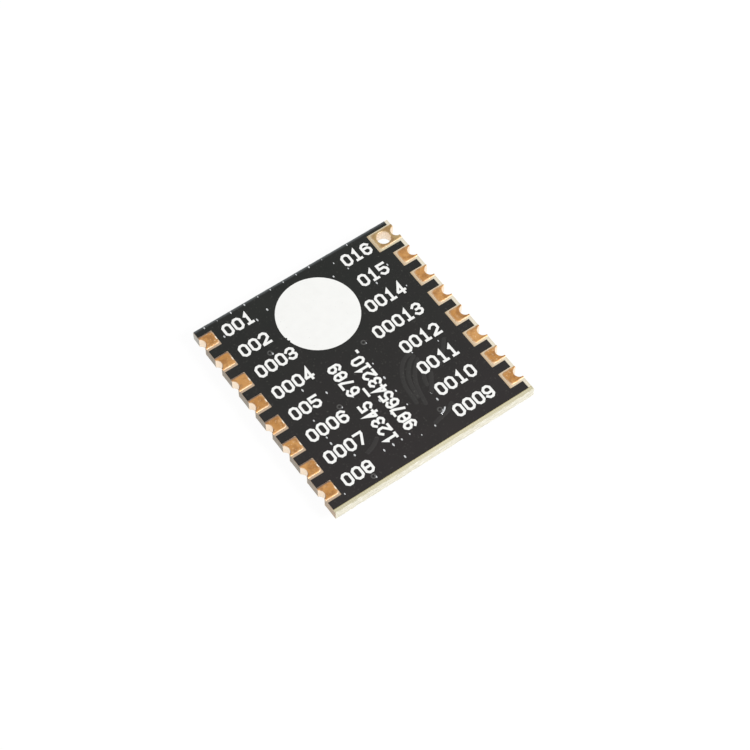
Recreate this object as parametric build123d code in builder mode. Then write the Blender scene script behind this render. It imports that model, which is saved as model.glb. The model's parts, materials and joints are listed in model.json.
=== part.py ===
from build123d import *
from collections import namedtuple
from math import cos, radians, sin
import os

os.makedirs("parts", exist_ok=True)

# A castellated radio module of 16 by 16.8 mm. It lies on its component side, with the printed
# side up. X runs along the print's reading direction, Y towards the antenna end, Z up.
# The origin is under the middle of the board, on the surface that the module rests on.
# All sizes are in millimetres.

# Board
BOARD_WIDTH = 16.0
BOARD_LENGTH = 16.8
BOARD_THICKNESS = 0.8

# Edge contacts: eight on each long side, with a plated half hole in the board's edge
# and 2.0 mm from one to the next
CONTACTS_PER_SIDE = 8
FIRST_ROW_INSET = 1.15
LAST_ROW_INSET = 1.65
COPPER_THICKNESS = 0.05
PLATING = 0.03
PAD_REACH = 1.08
PAD_HEIGHT = 1.10
PAD_EDGE_ROUND = 0.03
NOTCH_RADIUS = 0.40
LEFT_NOTCH_OUTSET = 0.17
RIGHT_NOTCH_OUTSET = 0.0

# Antenna contact: the last one on the right, with a plated hole for a wire
ANTENNA_PAD_REACH = 1.80
ANTENNA_PAD_HEIGHT = 1.36
ANTENNA_HOLE_RADIUS = 0.50
ANTENNA_HOLE_INSET = 1.07

# Solder mask: a lacquer, a little out of register, that stops short of the board's edges. Its
# windows leave a rim round each pad, wider on the right side (1) than on the left (-1)
MASK_THICKNESS = 0.03
MASK_LEFT_MARGIN = 0.03
MASK_RIGHT_MARGIN = 0.255
MASK_TOP_MARGIN = 0.035
MASK_LOW_MARGIN = 0.295
MASK_RIM = {-1: 0.11, 1: 0.135}
MASK_WINDOW_SHIFT = {-1: (-0.09, -0.09), 1: (-0.066, -0.05)}
MASK_CORNER = 0.05
LAND_RIM = 0.05

# White print: a grid of 20 by 21 square cells lies over the board, 0.8 mm each on this board.
# Sizes, places and insets from the board's end are in cells, and the gaps to the pads in mm
PRINT_THICKNESS = 0.02
CELL_COLUMN_COUNT = 20
CELL_ROW_COUNT = 21
DISC_RADIUS = 3.65
DISC_X = -0.375
DISC_INSET = 4.56
NICK_RADIUS = 0.10
NICK_ANGLES = (188.5, 194.0)
STROKE = 0.225
DIGIT_WIDTH = 0.65
DIGIT_HEIGHT = 1.04
DIGIT_CHAMFER = 0.075
LEFT_LABEL_GAP = 0.60
RIGHT_LABEL_GAP = 0.47
LABEL_ROW_DROP = 0.09
CENTRE_DIGIT_WIDTH = 0.54
FIRST_LINE_X = -2.39
FIRST_LINE_INSET = 2.71
FIRST_LINE_PITCH = 0.893
SECOND_LINE_X = -0.375
SECOND_LINE_INSET = 2.81
SECOND_LINE_PITCH = 0.825
BAR_X = -1.525
BAR_INSET = 7.74
BAR_LENGTH = 0.96

# Plain numbers: the contacts in order round the board, and two rows of digits
LEFT_LABELS = ("001", "002", "0003", "0004", "005", "0006", "0007", "008")
RIGHT_LABELS = ("016", "015", "0014", "00013", "0012", "0011", "0010", "0009")
FIRST_LINE = "12345 6789"
SECOND_LINE = "9876543210."

# Transceiver: a flat leadless package, the tallest part, which the module rests on
CHIP_SIZE = 6.0
CHIP_HEIGHT = 0.85
CHIP_PLACE = (0.2, -1.0)
CHIP_EDGE_CHAMFER = 0.06
LEADS_PER_SIDE = 7
LEAD_PITCH = 0.65
LEAD_WIDTH = 0.33
LEAD_LENGTH = 0.55
LEAD_THICKNESS = 0.20
THERMAL_PAD = 4.2

# Crystal: a ceramic case with a metal lid
CRYSTAL_LENGTH = 3.2
CRYSTAL_WIDTH = 2.5
CRYSTAL_CASE_HEIGHT = 0.50
CRYSTAL_LID_HEIGHT = 0.20
CRYSTAL_LID_INSET = 0.18
CRYSTAL_LID_ROUND = 0.08
CRYSTAL_PAD_LENGTH = 0.9
CRYSTAL_PAD_WIDTH = 0.8

# Antenna switch: a small moulded chip with three bent legs on each long side
SWITCH_LENGTH = 2.0
SWITCH_WIDTH = 1.25
SWITCH_HEIGHT = 0.70
SWITCH_STANDOFF = 0.06
LEG_PITCH = 0.65
LEG_WIDTH = 0.22
LEG_THICKNESS = 0.12
LEG_REACH = 0.45
FOOT_LENGTH = 0.25

# Small two-ended parts
SMALL_LENGTH = 1.0
SMALL_WIDTH = 0.5
CAPACITOR_HEIGHT = 0.50
INDUCTOR_HEIGHT = 0.45
RESISTOR_HEIGHT = 0.35
SMALL_END = 0.24
BULK_LENGTH = 1.6
BULK_WIDTH = 0.8
BULK_HEIGHT = 0.75
BULK_END = 0.34
END_WRAP = 0.012

# Solder and spacing on the component side
SOLDER_THICKNESS = 0.04
SMALL_TOE = 0.20
LEAD_TOE = 0.20
PART_GAP = 0.50
CRYSTAL_PAD_GAP = 0.77
COLUMN_COUNT = 5
FILTER_COUNT = 3
MARK_WIDTH = 0.15
MARK_LENGTH = 0.55
MARK_GAP = 0.20
DOT_RADIUS = 0.20

# Heights of the layers above the resting surface
SEAT = CHIP_HEIGHT
LAND_FACE = SEAT + SOLDER_THICKNESS
BOARD_BOTTOM = LAND_FACE + COPPER_THICKNESS
BOARD_TOP = BOARD_BOTTOM + BOARD_THICKNESS
MASK_TOP = BOARD_TOP + MASK_THICKNESS
MASK_BOTTOM = BOARD_BOTTOM - MASK_THICKNESS

# Contact rows, from the antenna end down
ROW_SPAN = BOARD_LENGTH - FIRST_ROW_INSET - LAST_ROW_INSET
ROW_PITCH = ROW_SPAN / (CONTACTS_PER_SIDE - 1)
ROW_Y = [BOARD_LENGTH / 2 - FIRST_ROW_INSET - i * ROW_PITCH for i in range(CONTACTS_PER_SIDE)]
NOTCH_X = {-1: -BOARD_WIDTH / 2 - LEFT_NOTCH_OUTSET, 1: BOARD_WIDTH / 2 + RIGHT_NOTCH_OUTSET}
NOTCHES = [(NOTCH_X[side], y) for side in (-1, 1) for y in ROW_Y]
ANTENNA_HOLE = (BOARD_WIDTH / 2 - ANTENNA_HOLE_INSET, ROW_Y[0])


# Board

with BuildPart() as circuit_board:
    with BuildSketch(Plane.XY.offset(BOARD_BOTTOM)):
        Rectangle(BOARD_WIDTH, BOARD_LENGTH)
        with Locations(*NOTCHES):
            Circle(NOTCH_RADIUS + PLATING, mode=Mode.SUBTRACT)
        with Locations(ANTENNA_HOLE):
            Circle(ANTENNA_HOLE_RADIUS + PLATING, mode=Mode.SUBTRACT)
    extrude(amount=BOARD_THICKNESS)
circuit_board.part.label = "circuit_board"
export_step(circuit_board.part, "parts/circuit_board.step")


# Edge contacts


def contact_pad(side, row, margin=0.0, shift=(0.0, 0.0)):
    """The outline of one contact's pad, widened by a margin on its three inner sides."""
    is_antenna = side > 0 and row == 0
    reach = (ANTENNA_PAD_REACH if is_antenna else PAD_REACH) + margin
    height = (ANTENNA_PAD_HEIGHT if is_antenna else PAD_HEIGHT) + 2 * margin
    inner_x = side * (BOARD_WIDTH / 2 - reach) + shift[0]
    outer_x = side * BOARD_WIDTH / 2
    with Locations(((inner_x + outer_x) / 2, ROW_Y[row] + shift[1])):
        return Rectangle(abs(outer_x - inner_x), height, mode=Mode.PRIVATE)


def make_contact(side, row, number):
    """A pad on each face, joined by the plating in the edge's half hole."""
    notch = (NOTCH_X[side], ROW_Y[row])
    is_antenna = side > 0 and row == 0
    with BuildPart() as contact:
        for height in (BOARD_BOTTOM - COPPER_THICKNESS, BOARD_TOP):
            with BuildSketch(Plane.XY.offset(height)):
                add(contact_pad(side, row))
                with Locations(notch):
                    Circle(NOTCH_RADIUS, mode=Mode.SUBTRACT)
                if is_antenna:
                    with Locations(ANTENNA_HOLE):
                        Circle(ANTENNA_HOLE_RADIUS, mode=Mode.SUBTRACT)
            extrude(amount=COPPER_THICKNESS)
        with BuildSketch(Plane.XY.offset(BOARD_BOTTOM)):
            with Locations(notch):
                Circle(NOTCH_RADIUS + PLATING)
                Circle(NOTCH_RADIUS, mode=Mode.SUBTRACT)
            if is_antenna:
                with Locations(ANTENNA_HOLE):
                    Circle(ANTENNA_HOLE_RADIUS + PLATING)
                    Circle(ANTENNA_HOLE_RADIUS, mode=Mode.SUBTRACT)
            Rectangle(BOARD_WIDTH, BOARD_LENGTH, mode=Mode.INTERSECT)
        extrude(amount=BOARD_THICKNESS)
        top_edges = contact.edges().group_by(Axis.Z)[-1].filter_by(GeomType.LINE)
        fillet(top_edges, PAD_EDGE_ROUND)
    contact.part.label = f"contact_{number:02d}"
    if is_antenna:
        contact.part.label = "antenna_contact"
    export_step(contact.part, f"parts/{contact.part.label}.step")


for contact_row in range(CONTACTS_PER_SIDE):
    make_contact(-1, contact_row, contact_row + 1)
    make_contact(1, contact_row, 2 * CONTACTS_PER_SIDE - contact_row)


# Layout of the component side

ChipPart = namedtuple("ChipPart", "length width height end")
Terminal = namedtuple("Terminal", "x y angle length width toe climb")

CAPACITOR = ChipPart(SMALL_LENGTH, SMALL_WIDTH, CAPACITOR_HEIGHT, SMALL_END)
INDUCTOR = ChipPart(SMALL_LENGTH, SMALL_WIDTH, INDUCTOR_HEIGHT, SMALL_END)
RESISTOR = ChipPart(SMALL_LENGTH, SMALL_WIDTH, RESISTOR_HEIGHT, SMALL_END)
BULK_CAPACITOR = ChipPart(BULK_LENGTH, BULK_WIDTH, BULK_HEIGHT, BULK_END)

part_step = SMALL_WIDTH + PART_GAP
ring_offset = CHIP_SIZE / 2 + LEAD_TOE + PART_GAP + SMALL_TOE + SMALL_LENGTH / 2
left_x, right_x = CHIP_PLACE[0] - ring_offset, CHIP_PLACE[0] + ring_offset
low_y, high_y = CHIP_PLACE[1] - ring_offset, CHIP_PLACE[1] + ring_offset
ring_steps = [(i - (COLUMN_COUNT - 1) / 2) * part_step for i in range(COLUMN_COUNT)]

crystal_edge = -BOARD_WIDTH / 2 + PAD_REACH + CRYSTAL_PAD_GAP + SMALL_TOE
crystal_x = crystal_edge + CRYSTAL_LENGTH / 2
crystal_y = CHIP_PLACE[1] - CHIP_SIZE / 2 - LEAD_TOE - PART_GAP - CRYSTAL_WIDTH / 2
low_start = crystal_x + CRYSTAL_LENGTH / 2 + SMALL_TOE + PART_GAP + SMALL_WIDTH / 2

left_column = [(left_x, CHIP_PLACE[1] + step, 0) for step in ring_steps]
right_column = [(right_x, CHIP_PLACE[1] + step, 0) for step in ring_steps]
low_row = [(low_start + i * part_step, low_y, 90) for i in range(COLUMN_COUNT)]
high_row = [(CHIP_PLACE[0] + step, high_y, 90) for step in ring_steps]

foot_reach = SWITCH_WIDTH / 2 + LEG_REACH
switch_x = CHIP_PLACE[0] + CHIP_SIZE / 2
switch_y = high_y + SMALL_LENGTH / 2 + 2 * SMALL_TOE + PART_GAP + foot_reach
filter_x = switch_x - SWITCH_LENGTH / 2 - PART_GAP - SMALL_TOE - SMALL_LENGTH / 2
filter_step = SMALL_LENGTH + 2 * SMALL_TOE + PART_GAP
filter_row = [(filter_x - i * filter_step, switch_y, 0) for i in range(FILTER_COUNT)]

bulk_place = (left_x, high_y, 0)

capacitor_places = left_column[:3] + right_column[:4] + low_row[:3] + high_row[:2]
inductor_places = high_row[2:] + filter_row[:2] + right_column[4:]
resistor_places = left_column[3:] + low_row[3:] + filter_row[2:]


def ends_of(place, part):
    """The two terminals of a two-ended part: their outer faces' middles and directions."""
    x, y, angle = place
    ends = []
    for turn in (0, 180):
        along = radians(angle + turn)
        end_x = x + cos(along) * part.length / 2
        end_y = y + sin(along) * part.length / 2
        climb = part.height / 2
        ends.append(Terminal(end_x, end_y, angle + turn, part.end, part.width, SMALL_TOE, climb))
    return ends


def chip_leads():
    """The transceiver's leads, seven to a side."""
    leads = []
    for side in range(4):
        turn = radians(90 * side)
        for i in range(LEADS_PER_SIDE):
            out = CHIP_SIZE / 2
            slip = (i - (LEADS_PER_SIDE - 1) / 2) * LEAD_PITCH
            x = CHIP_PLACE[0] + out * cos(turn) - slip * sin(turn)
            y = CHIP_PLACE[1] + out * sin(turn) + slip * cos(turn)
            climb = LEAD_THICKNESS / 2
            leads.append(Terminal(x, y, 90 * side, LEAD_LENGTH, LEAD_WIDTH, LEAD_TOE, climb))
    return leads


def crystal_pads():
    """The crystal's four soldered corners."""
    pads = []
    for side, angle in ((1, 0), (-1, 180)):
        for row in (-1, 1):
            x = crystal_x + side * CRYSTAL_LENGTH / 2
            y = crystal_y + row * (CRYSTAL_WIDTH - CRYSTAL_PAD_WIDTH) / 2
            climb = CRYSTAL_CASE_HEIGHT / 4
            pads.append(
                Terminal(x, y, angle, CRYSTAL_PAD_LENGTH, CRYSTAL_PAD_WIDTH, SMALL_TOE, climb)
            )
    return pads


def switch_feet():
    """The soldered feet of the antenna switch."""
    feet = []
    for side, angle in ((1, 90), (-1, 270)):
        for i in (-1, 0, 1):
            x = switch_x + i * LEG_PITCH
            y = switch_y + side * foot_reach
            climb = LEG_THICKNESS / 2
            feet.append(Terminal(x, y, angle, FOOT_LENGTH, LEG_WIDTH, SMALL_TOE, climb))
    return feet


small_ends = [end for place in capacitor_places for end in ends_of(place, CAPACITOR)]
small_ends += [end for place in inductor_places for end in ends_of(place, INDUCTOR)]
small_ends += [end for place in resistor_places for end in ends_of(place, RESISTOR)]
small_ends += ends_of(bulk_place, BULK_CAPACITOR)
TERMINALS = chip_leads() + crystal_pads() + switch_feet() + small_ends


def land_outline(terminal, margin=0.0):
    """The copper land under a terminal, from its inner end to the solder's toe."""
    along = radians(terminal.angle)
    middle = (terminal.toe - terminal.length) / 2
    x = terminal.x + middle * cos(along)
    y = terminal.y + middle * sin(along)
    length = terminal.length + terminal.toe + 2 * margin
    with Locations(Location((x, y, 0), (0, 0, terminal.angle))):
        return Rectangle(length, terminal.width + 2 * margin, mode=Mode.PRIVATE)


# Solder mask on both sides


def mask_sheet():
    """The lacquer's outline, in the current sketch."""
    width = BOARD_WIDTH - MASK_LEFT_MARGIN - MASK_RIGHT_MARGIN
    length = BOARD_LENGTH - MASK_TOP_MARGIN - MASK_LOW_MARGIN
    middle = ((MASK_LEFT_MARGIN - MASK_RIGHT_MARGIN) / 2, (MASK_LOW_MARGIN - MASK_TOP_MARGIN) / 2)
    with Locations(middle):
        return Rectangle(width, length)


def contact_window(side, row):
    """A window in the lacquer round one contact, with rounded inner corners."""
    with BuildSketch() as window:
        add(contact_pad(side, row, MASK_RIM[side], MASK_WINDOW_SHIFT[side]))
        inner_corners = window.vertices().group_by(Axis.X)[0 if side > 0 else -1]
        fillet(inner_corners, MASK_CORNER)
    return window.sketch


contact_windows = [contact_window(side, row) for side in (-1, 1) for row in range(CONTACTS_PER_SIDE)]

with BuildPart() as printed_side_mask:
    with BuildSketch(Plane.XY.offset(BOARD_TOP)):
        mask_sheet()
        add(contact_windows, mode=Mode.SUBTRACT)
    extrude(amount=MASK_THICKNESS)
printed_side_mask.part.label = "printed_side_mask"
export_step(printed_side_mask.part, "parts/printed_side_mask.step")

with BuildPart() as component_side_mask:
    with BuildSketch(Plane.XY.offset(MASK_BOTTOM)):
        mask_sheet()
        add(contact_windows, mode=Mode.SUBTRACT)
        add([land_outline(terminal, LAND_RIM) for terminal in TERMINALS], mode=Mode.SUBTRACT)
        with Locations(CHIP_PLACE):
            Rectangle(THERMAL_PAD + 2 * LAND_RIM, THERMAL_PAD + 2 * LAND_RIM, mode=Mode.SUBTRACT)
    extrude(amount=MASK_THICKNESS)
component_side_mask.part.label = "component_side_mask"
export_step(component_side_mask.part, "parts/component_side_mask.step")


# White print on the upper side

cell = min(BOARD_WIDTH / CELL_COLUMN_COUNT, BOARD_LENGTH / CELL_ROW_COUNT)
stroke_width = STROKE * cell
digit_height = DIGIT_HEIGHT * cell
disc_place = (DISC_X * cell, BOARD_LENGTH / 2 - DISC_INSET * cell)

with BuildPart() as white_disc:
    with BuildSketch(Plane.XY.offset(MASK_TOP)):
        with Locations(disc_place):
            Circle(DISC_RADIUS * cell)
            for nick_angle in NICK_ANGLES:
                with PolarLocations(DISC_RADIUS * cell, 1, start_angle=nick_angle):
                    Circle(NICK_RADIUS * cell, mode=Mode.SUBTRACT)
    extrude(amount=PRINT_THICKNESS)
white_disc.part.label = "white_disc"
export_step(white_disc.part, "parts/white_disc.step")


def digit_strokes(width):
    """The centre lines of the ten digits, with cut corners, from 0,0 to the width and height."""
    w, h = width, digit_height
    c = DIGIT_CHAMFER * cell + stroke_width / 2
    mid = h / 2
    ring = [(0, c), (0, h - c), (c, h), (w - c, h), (w, h - c), (w, c), (w - c, 0), (c, 0), (0, c)]
    arch = [(0, h - c), (c, h), (w - c, h), (w, h - c)]
    bowl = [(w - c, mid + c / 2), (w, mid - c / 2), (w, c), (w - c, 0), (c, 0), (0, c)]
    six = [[(0, mid + c / 2)] + bowl + [(0, mid - c)], [(0, mid)] + arch]
    return {
        "0": [ring],
        "1": [[(w / 4, h - c), (w / 2, h), (w / 2, 0)], [(w / 6, 0), (w - w / 6, 0)]],
        "2": [arch + [(w, mid), (c / 3, c / 2)], [(0, 0), (w, 0)]],
        "3": [
            arch + [(w, mid + c), (w - c, mid)],
            [(w / 3, mid), (w - c, mid), (w, mid - c), (w, c), (w - c, 0), (c, 0), (0, c)],
        ],
        "4": [[(w - c, 0), (w - c, h), (0, h / 3)], [(0, h / 4), (w, h / 4)]],
        "5": [[(w, h), (0, h), (0, mid + c / 2)] + bowl],
        "6": six,
        "7": [[(0, h), (w, h), (w, h - c), (w / 3, 0)]],
        "8": [ring, [(0, mid), (w, mid)]],
        "9": [[(w - x, h - y) for x, y in stroke] for stroke in six],
        ".": [[(w / 2 - c / 3, 0), (w / 2 + c / 3, 0)]],
    }


def beside(points, distance):
    """Points to the left of a path at a distance, mitred at its corners. A ring stays closed."""
    steps = [Vector(*b) - Vector(*a) for a, b in zip(points, points[1:])]
    steps = [step.normalized() for step in steps]
    is_ring = points[0] == points[-1]
    before = [steps[-1] if is_ring else steps[0]] + steps
    after = steps + [steps[0] if is_ring else steps[-1]]
    result = []
    for point, step_in, step_out in zip(points, before, after):
        along = step_in + step_out
        mitre = Vector(-along.Y, along.X) * (2 * distance / along.length**2)
        result.append((point[0] + mitre.X, point[1] + mitre.Y))
    return result


def lengthened(points, distance):
    """An open path with both ends moved outwards, for square ends."""
    first, second = Vector(*points[0]), Vector(*points[1])
    last, before_last = Vector(*points[-1]), Vector(*points[-2])
    first = first + (first - second).normalized() * distance
    last = last + (last - before_last).normalized() * distance
    return [(first.X, first.Y)] + points[1:-1] + [(last.X, last.Y)]


def polygon_face(points, mode=Mode.ADD):
    """A closed outline as a face of the current sketch."""
    with BuildLine() as outline:
        Polyline(*points, close=True)
    make_face(outline.edges(), mode=mode)


def digit_face(strokes, width):
    """One digit as flat strokes round its own middle."""
    with BuildSketch() as digit:
        for stroke in strokes:
            if stroke[0] == stroke[-1]:
                polygon_face(beside(stroke, stroke_width / 2)[:-1])
                polygon_face(beside(stroke, -stroke_width / 2)[:-1], Mode.SUBTRACT)
            else:
                path = lengthened(stroke, stroke_width / 2)
                left_side = beside(path, stroke_width / 2)
                right_side = beside(path, -stroke_width / 2)
                polygon_face(left_side + right_side[::-1])
    return digit.sketch.moved(Location((-width / 2, -digit_height / 2, 0)))


def digit_set(width):
    """All digits of one width."""
    return {key: digit_face(strokes, width) for key, strokes in digit_strokes(width).items()}


def number_line(text, start, pitch, digits, angle=0):
    """The digits of a line of text, from the middle of its first cell."""
    along = radians(angle)
    placed = []
    for i, key in enumerate(text):
        if key in digits:
            x = start[0] + i * pitch * cos(along)
            y = start[1] + i * pitch * sin(along)
            placed.append(digits[key].moved(Location((x, y, 0), (0, 0, angle))))
    return placed


label_digits = digit_set(DIGIT_WIDTH * cell)
centre_digits = digit_set(CENTRE_DIGIT_WIDTH * cell)
half_glyph = (DIGIT_WIDTH + STROKE) / 2 * cell
left_start = PAD_REACH + LEFT_LABEL_GAP + half_glyph - BOARD_WIDTH / 2
right_end = BOARD_WIDTH / 2 - ANTENNA_PAD_REACH - RIGHT_LABEL_GAP - half_glyph

label_glyphs = []
for label_y, left_label, right_label in zip(ROW_Y, LEFT_LABELS, RIGHT_LABELS):
    text_y = label_y - LABEL_ROW_DROP * cell
    label_glyphs += number_line(left_label, (left_start, text_y), cell, label_digits)
    right_start = right_end - (len(right_label) - 1) * cell
    label_glyphs += number_line(right_label, (right_start, text_y), cell, label_digits)

with BuildPart() as contact_numbers:
    with BuildSketch(Plane.XY.offset(MASK_TOP)):
        add(label_glyphs)
    extrude(amount=PRINT_THICKNESS)
contact_numbers.part.label = "contact_numbers"
export_step(contact_numbers.part, "parts/contact_numbers.step")


def centre_place(x, inset):
    """A point of the middle print, from its x and its distance from the board's near end."""
    return x * cell, inset * cell - BOARD_LENGTH / 2


half_cell = (CENTRE_DIGIT_WIDTH + STROKE) / 2
first_start = centre_place(FIRST_LINE_X, FIRST_LINE_INSET + half_cell)
second_start = centre_place(SECOND_LINE_X, SECOND_LINE_INSET + half_cell)
first_pitch = FIRST_LINE_PITCH * cell
second_pitch = SECOND_LINE_PITCH * cell
with BuildPart() as centre_numbers:
    with BuildSketch(Plane.XY.offset(MASK_TOP)):
        add(number_line(FIRST_LINE, first_start, first_pitch, centre_digits, 90))
        add(number_line(SECOND_LINE, second_start, second_pitch, centre_digits, 90))
        with Locations(centre_place(BAR_X, BAR_INSET)):
            Rectangle(stroke_width, BAR_LENGTH * cell)
    extrude(amount=PRINT_THICKNESS)
centre_numbers.part.label = "centre_numbers"
export_step(centre_numbers.part, "parts/centre_numbers.step")


# Lands and solder on the component side

with BuildPart() as component_lands:
    with BuildSketch(Plane.XY.offset(LAND_FACE)):
        add([land_outline(terminal) for terminal in TERMINALS])
        with Locations(CHIP_PLACE):
            Rectangle(THERMAL_PAD, THERMAL_PAD)
    extrude(amount=COPPER_THICKNESS)
component_lands.part.label = "component_lands"
export_step(component_lands.part, "parts/component_lands.step")


def joint_plane(terminal):
    """An upright plane through a terminal's middle, with X pointing outwards and Y up."""
    along = radians(terminal.angle)
    outwards = (cos(along), sin(along), 0)
    sideways = (sin(along), -cos(along), 0)
    return Plane(origin=(terminal.x, terminal.y, 0), x_dir=outwards, z_dir=sideways)


with BuildPart() as solder_joints:
    for kind in sorted({terminal[3:] for terminal in TERMINALS}):
        length, width, toe, climb = kind
        alike = [terminal for terminal in TERMINALS if terminal[3:] == kind]
        with BuildSketch(*[joint_plane(terminal) for terminal in alike]):
            with BuildLine():
                Polyline(
                    (-length, SEAT),
                    (-length, LAND_FACE),
                    (toe, LAND_FACE),
                    (toe, SEAT),
                    (0, SEAT - climb),
                    (0, SEAT),
                    close=True,
                )
            make_face()
        extrude(amount=width / 2, both=True)
    with BuildSketch(Plane.XY.offset(SEAT)):
        with Locations(CHIP_PLACE):
            Rectangle(THERMAL_PAD, THERMAL_PAD)
    extrude(amount=SOLDER_THICKNESS)
solder_joints.part.label = "solder_joints"
export_step(solder_joints.part, "parts/solder_joints.step")


# Transceiver

with BuildPart() as transceiver_leads:
    with BuildSketch(Plane.XY.offset(SEAT - LEAD_THICKNESS)):
        for lead in chip_leads():
            along = radians(lead.angle)
            lead_x = lead.x - cos(along) * lead.length / 2
            lead_y = lead.y - sin(along) * lead.length / 2
            with Locations(Location((lead_x, lead_y, 0), (0, 0, lead.angle))):
                Rectangle(lead.length, lead.width)
        with Locations(CHIP_PLACE):
            Rectangle(THERMAL_PAD, THERMAL_PAD)
    extrude(amount=LEAD_THICKNESS)
transceiver_leads.part.label = "transceiver_leads"
export_step(transceiver_leads.part, "parts/transceiver_leads.step")

with BuildPart() as transceiver_chip:
    with BuildSketch(Plane.XY):
        with Locations(CHIP_PLACE):
            Rectangle(CHIP_SIZE, CHIP_SIZE)
    extrude(amount=CHIP_HEIGHT)
    chamfer(transceiver_chip.faces().sort_by(Axis.Z)[0].edges(), CHIP_EDGE_CHAMFER)
    add(transceiver_leads.part, mode=Mode.SUBTRACT)
transceiver_chip.part.label = "transceiver_chip"
export_step(transceiver_chip.part, "parts/transceiver_chip.step")


# Crystal

with BuildPart() as crystal_case:
    with BuildSketch(Plane.XY.offset(SEAT - CRYSTAL_CASE_HEIGHT)):
        with Locations((crystal_x, crystal_y)):
            Rectangle(CRYSTAL_LENGTH, CRYSTAL_WIDTH)
    extrude(amount=CRYSTAL_CASE_HEIGHT)
crystal_case.part.label = "crystal_case"
export_step(crystal_case.part, "parts/crystal_case.step")

with BuildPart() as crystal_lid:
    with BuildSketch(Plane.XY.offset(SEAT - CRYSTAL_CASE_HEIGHT - CRYSTAL_LID_HEIGHT)):
        with Locations((crystal_x, crystal_y)):
            Rectangle(CRYSTAL_LENGTH - 2 * CRYSTAL_LID_INSET, CRYSTAL_WIDTH - 2 * CRYSTAL_LID_INSET)
    extrude(amount=CRYSTAL_LID_HEIGHT)
    fillet(crystal_lid.edges().filter_by(Axis.Z), 2 * CRYSTAL_LID_ROUND)
    fillet(crystal_lid.faces().sort_by(Axis.Z)[0].edges(), CRYSTAL_LID_ROUND)
crystal_lid.part.label = "crystal_lid"
export_step(crystal_lid.part, "parts/crystal_lid.step")


# Antenna switch

with BuildPart() as switch_chip:
    with BuildSketch(Plane.XY.offset(SEAT - SWITCH_STANDOFF - SWITCH_HEIGHT)):
        with Locations((switch_x, switch_y)):
            Rectangle(SWITCH_LENGTH, SWITCH_WIDTH)
    extrude(amount=SWITCH_HEIGHT)
    chamfer(switch_chip.faces().sort_by(Axis.Z)[0].edges(), CHIP_EDGE_CHAMFER)
switch_chip.part.label = "switch_chip"
export_step(switch_chip.part, "parts/switch_chip.step")

leg_root = SEAT - SWITCH_STANDOFF - SWITCH_HEIGHT / 2
knee = foot_reach - FOOT_LENGTH - SWITCH_WIDTH / 2
with BuildPart() as switch_legs:
    with BuildSketch(*[joint_plane(foot) for foot in switch_feet()]):
        with BuildLine():
            Polyline(
                (-LEG_REACH, leg_root),
                (-LEG_REACH, leg_root - LEG_THICKNESS),
                (-LEG_REACH + knee, leg_root - LEG_THICKNESS),
                (-FOOT_LENGTH + LEG_THICKNESS, leg_root),
                (-FOOT_LENGTH + LEG_THICKNESS, SEAT - LEG_THICKNESS),
                (0, SEAT - LEG_THICKNESS),
                (0, SEAT),
                (-FOOT_LENGTH, SEAT),
                (-FOOT_LENGTH, leg_root),
                close=True,
            )
        make_face()
    extrude(amount=LEG_WIDTH / 2, both=True)
switch_legs.part.label = "switch_legs"
export_step(switch_legs.part, "parts/switch_legs.step")


# Two-ended parts


def make_chip_body(name, place, part):
    """The ceramic between the end caps, a little slimmer than they are."""
    with BuildPart() as body:
        with BuildSketch(Plane.XY.offset(SEAT - part.height + END_WRAP)):
            with Locations(Location((place[0], place[1], 0), (0, 0, place[2]))):
                Rectangle(part.length - 2 * part.end, part.width - 2 * END_WRAP)
        extrude(amount=part.height - 2 * END_WRAP)
    body.part.label = name
    export_step(body.part, f"parts/{name}.step")


def make_end_caps(name, parts_and_places):
    """The tinned caps at both ends of all parts of these kinds, as a group of solids."""
    with BuildPart() as caps:
        for part, places in parts_and_places:
            middle = (part.length - part.end) / 2
            with BuildSketch(Plane.XY.offset(SEAT - part.height)):
                with Locations(*[Location((x, y, 0), (0, 0, angle)) for x, y, angle in places]):
                    with Locations((-middle, 0), (middle, 0)):
                        Rectangle(part.end, part.width)
            extrude(amount=part.height)
    caps.part.label = name
    export_step(caps.part, f"parts/{name}.step")


for i, place in enumerate(capacitor_places):
    make_chip_body(f"capacitor_{i + 1:02d}", place, CAPACITOR)
for i, place in enumerate(inductor_places):
    make_chip_body(f"inductor_{i + 1:02d}", place, INDUCTOR)
for i, place in enumerate(resistor_places):
    make_chip_body(f"resistor_{i + 1:02d}", place, RESISTOR)
make_chip_body("bulk_capacitor", bulk_place, BULK_CAPACITOR)

make_end_caps(
    "capacitor_end_caps", [(CAPACITOR, capacitor_places), (BULK_CAPACITOR, [bulk_place])]
)
make_end_caps("inductor_end_caps", [(INDUCTOR, inductor_places)])
make_end_caps("resistor_end_caps", [(RESISTOR, resistor_places)])


# Print on the component side: corner marks round the transceiver and a dot at its first lead

with BuildPart() as component_side_print:
    with BuildSketch(Plane.XY.offset(MASK_BOTTOM - PRINT_THICKNESS)):
        mark_offset = CHIP_SIZE / 2 + MARK_GAP + MARK_WIDTH / 2
        for mark_x in (-1, 1):
            for mark_y in (-1, 1):
                corner_x = CHIP_PLACE[0] + mark_x * mark_offset
                corner_y = CHIP_PLACE[1] + mark_y * mark_offset
                slip = (MARK_LENGTH - MARK_WIDTH) / 2
                with Locations((corner_x - mark_x * slip, corner_y)):
                    Rectangle(MARK_LENGTH, MARK_WIDTH)
                with Locations((corner_x, corner_y - mark_y * slip)):
                    Rectangle(MARK_WIDTH, MARK_LENGTH)
        dot_offset = mark_offset + MARK_WIDTH / 2 + MARK_GAP + DOT_RADIUS
        with Locations((CHIP_PLACE[0] - dot_offset, CHIP_PLACE[1] + dot_offset)):
            Circle(DOT_RADIUS)
    extrude(amount=PRINT_THICKNESS)
component_side_print.part.label = "component_side_print"
export_step(component_side_print.part, "parts/component_side_print.step")
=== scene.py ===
import json
import math
import random

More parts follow.
